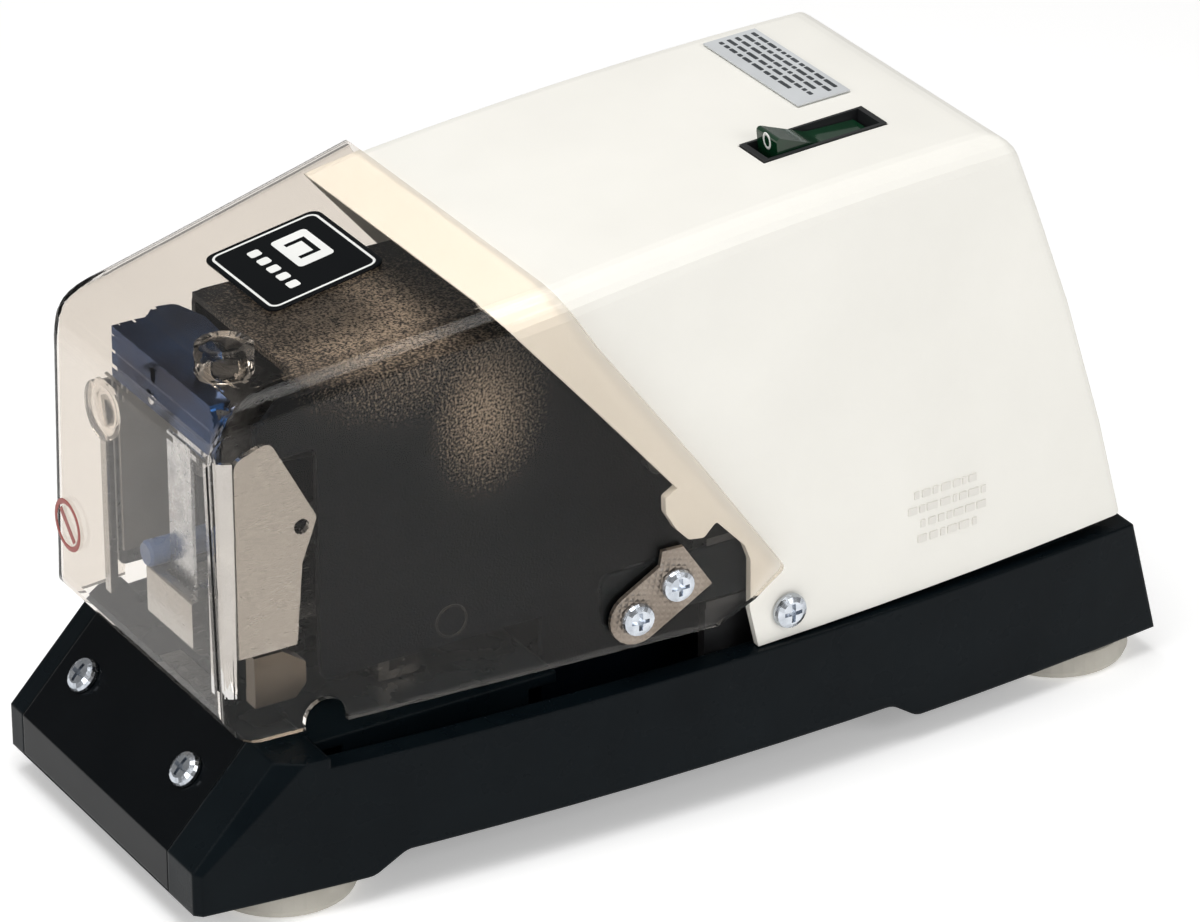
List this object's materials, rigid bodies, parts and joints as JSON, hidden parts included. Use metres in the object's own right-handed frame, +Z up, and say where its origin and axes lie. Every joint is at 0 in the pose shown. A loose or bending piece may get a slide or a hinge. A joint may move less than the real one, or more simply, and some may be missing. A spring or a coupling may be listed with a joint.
{
  "type": "electric stapler",
  "caption": "Heavy-duty electric desk stapler with a black base, off-white casing and a smoky clear sliding hood.",
  "frame": {"origin": "on the table under the middle of the base", "axes": "+Z up, -Y towards the front where paper goes in, +X to the right of a person facing +Y"},
  "size_m": [0.1244, 0.29, 0.1658],
  "materials": {
    "black_paint": "satin",
    "black_gloss": "gloss",
    "black_plastic": "matte",
    "off_white_plastic": "satin",
    "rubber_grey": "matte",
    "clear_plastic": "clear gloss",
    "zinc": "bright zinc plate",
    "nickel": "satin nickel plate",
    "steel": "ground",
    "blued_steel": "polished blue",
    "bronze": "satin",
    "copper_winding": "varnished",
    "dark_green": "gloss",
    "blue_plastic": "satin",
    "grey_label": "satin",
    "red_label": "satin",
    "green_board": "satin"
  },
  "bodies": {
    "machine": {"base_casting": "black_paint", "front_plate": "black_gloss", "front_screw_left": "zinc", "front_screw_right": "zinc", "foot_front_left": "rubber_grey", "foot_front_right": "rubber_grey", "foot_rear_left": "rubber_grey", "foot_rear_right": "rubber_grey", "paper_table": "black_paint", "anvil": "steel", "microswitch": "black_plastic", "casing": "off_white_plastic", "casing_screw_left": "zinc", "casing_screw_right": "zinc", "top_label": "grey_label", "rocker_housing": "black_plastic", "inlet_housing": "black_plastic", "inlet_pin_neutral": "nickel", "inlet_pin_earth": "nickel", "inlet_pin_live": "nickel", "machine_frame": "black_paint", "arm_pivot_pin": "steel", "guide_plate_right": "nickel", "guide_plate_left": "steel", "guide_foot": "bronze", "solenoid_yoke": "steel", "solenoid_coil": "copper_winding", "solenoid_bracket": "nickel", "return_spring": "zinc", "circuit_board": "green_board", "capacitor": "black_plastic", "rail_guide_left": "black_plastic", "rail_guide_right": "black_plastic"},
    "hood_carriage": {"hood": "clear_plastic", "hood_badge": "black_gloss", "warning_label": "red_label", "hood_bracket_left": "nickel", "hood_bracket_right": "nickel", "bracket_screw_front_left": "zinc", "bracket_screw_front_right": "zinc", "bracket_screw_rear_left": "zinc", "bracket_screw_rear_right": "zinc", "hood_rail_left": "black_paint", "hood_rail_right": "black_paint"},
    "driver": {"driver_arm": "steel", "driver_blade": "zinc", "head_cap": "blued_steel"},
    "magazine": {"magazine_channel": "nickel", "magazine_nose": "nickel", "magazine_arm_left": "nickel", "magazine_arm_right": "nickel", "staple_strip": "zinc"},
    "pusher": {"follower": "black_plastic", "follower_spring_roll": "steel"},
    "latch": {"latch_button": "blue_plastic"},
    "armature": {"plunger": "steel"},
    "rocker": {"rocker_button": "dark_green"},
    "trigger": {"paper_trigger": "steel"},
    "switch_key": {"switch_plunger": "grey_label"},
    "stop": {"paper_stop": "nickel"}
  },
  "joints": [
    {"name": "hood_slide", "type": "slide", "parent": "machine", "child": "hood_carriage", "axis": [0, -1, 0], "range_m": [0, 0.04]},
    {"name": "driver_swing", "type": "hinge", "parent": "machine", "child": "driver", "pos_m": [0, 0, 0.09], "axis": [1, 0, 0], "range_deg": [0, 10.5], "stiffness_Nm_per_rad": 3, "springref_deg": -20.05, "deforming": ["return_spring"]},
    {"name": "magazine_swing", "type": "hinge", "parent": "machine", "child": "magazine", "pos_m": [0, 0, 0.09], "axis": [1, 0, 0], "range_deg": [0, 4]},
    {"name": "armature_slide", "type": "slide", "parent": "machine", "child": "armature", "axis": [0, 0, 1], "range_m": [0, 0.0115]},
    {"name": "pusher_slide", "type": "slide", "parent": "magazine", "child": "pusher", "axis": [0, 1, 0], "range_m": [0, 0.03], "stiffness_N_per_m": 40, "springref_m": -0.03},
    {"name": "latch_press", "type": "slide", "parent": "magazine", "child": "latch", "axis": [0, 1, 0], "range_m": [0, 0.004], "stiffness_N_per_m": 400, "springref_m": -0.002},
    {"name": "rocker_tilt", "type": "hinge", "parent": "machine", "child": "rocker", "pos_m": [0.02015, 0.054, 0.1575], "axis": [1, 0, 0], "range_deg": [0, 20]},
    {"name": "trigger_swing", "type": "hinge", "parent": "machine", "child": "trigger", "pos_m": [0, -0.088, 0.034], "axis": [-1, 0, 0], "range_deg": [0, 12], "stiffness_Nm_per_rad": 0.03, "springref_deg": -8.59},
    {"name": "switch_press", "type": "slide", "parent": "machine", "child": "switch_key", "axis": [0, -1, 0], "range_m": [0, 0.0022]},
    {"name": "stop_slide", "type": "slide", "parent": "machine", "child": "stop", "axis": [0, 1, 0], "range_m": [0, 0.025]}
  ],
  "couplings": [
    {"joint": "magazine_swing", "follows": "driver_swing", "ratio": 0.38},
    {"joint": "armature_slide", "follows": "driver_swing", "m_per_rad": 0.062},
    {"joint": "switch_press", "follows": "trigger_swing", "m_per_rad": 0.01}
  ]
}
